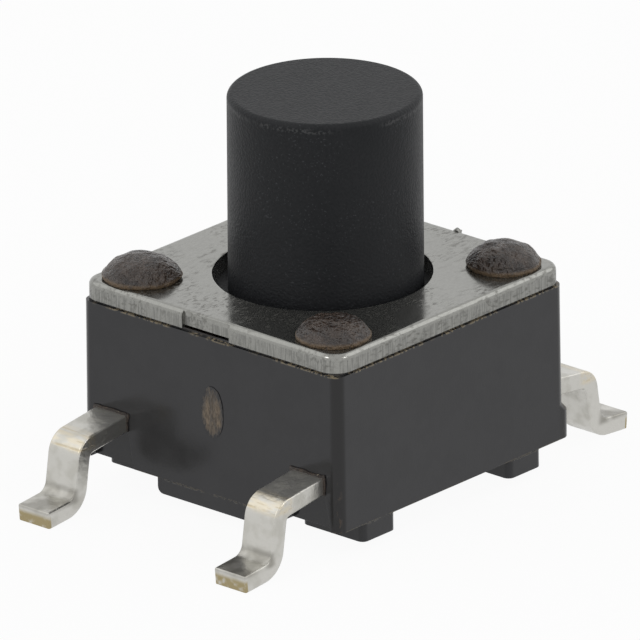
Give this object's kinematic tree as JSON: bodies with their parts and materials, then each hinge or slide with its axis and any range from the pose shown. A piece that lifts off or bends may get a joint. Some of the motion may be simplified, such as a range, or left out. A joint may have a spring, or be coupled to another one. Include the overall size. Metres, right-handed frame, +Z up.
{
  "type": "tactile push button switch",
  "caption": "Square surface-mount tactile push button switch with gull-wing leads, a metal cover plate and a tall round button.",
  "frame": {"origin": "on the board plane, under the centre of the square base, at the level of the solder feet's lowest points", "axes": "+Z up, the way the button points; +Y across the base towards one pair of leads; +X towards a plain face of the base"},
  "size_m": [0.0058, 0.0098, 0.007],
  "materials": {
    "base_plastic": "dark grey moulded thermoset plastic with a slight sheen, tan at its worn edges",
    "button_plastic": "nearly black fine matte plastic",
    "cover_steel": "rolled stainless sheet, glossy, with fine specks",
    "tinned_lead": "satin tin plate on brass, bare brass at the cut ends",
    "spring_steel": "thin polished stainless spring sheet"
  },
  "bodies": {
    "base": {"base_housing": "base_plastic", "terminal_left": "tinned_lead", "terminal_right": "tinned_lead", "contact_dome": "spring_steel", "cover_plate": "cover_steel"},
    "button": {"plunger": "button_plastic"}
  },
  "joints": [
    {"name": "button_press", "type": "slide", "parent": "base", "child": "button", "axis": [0, 0, -1], "range_m": [0, 0.00025], "stiffness_N_per_m": 2000, "springref_m": -0.0003, "deforming": ["contact_dome"]}
  ]
}
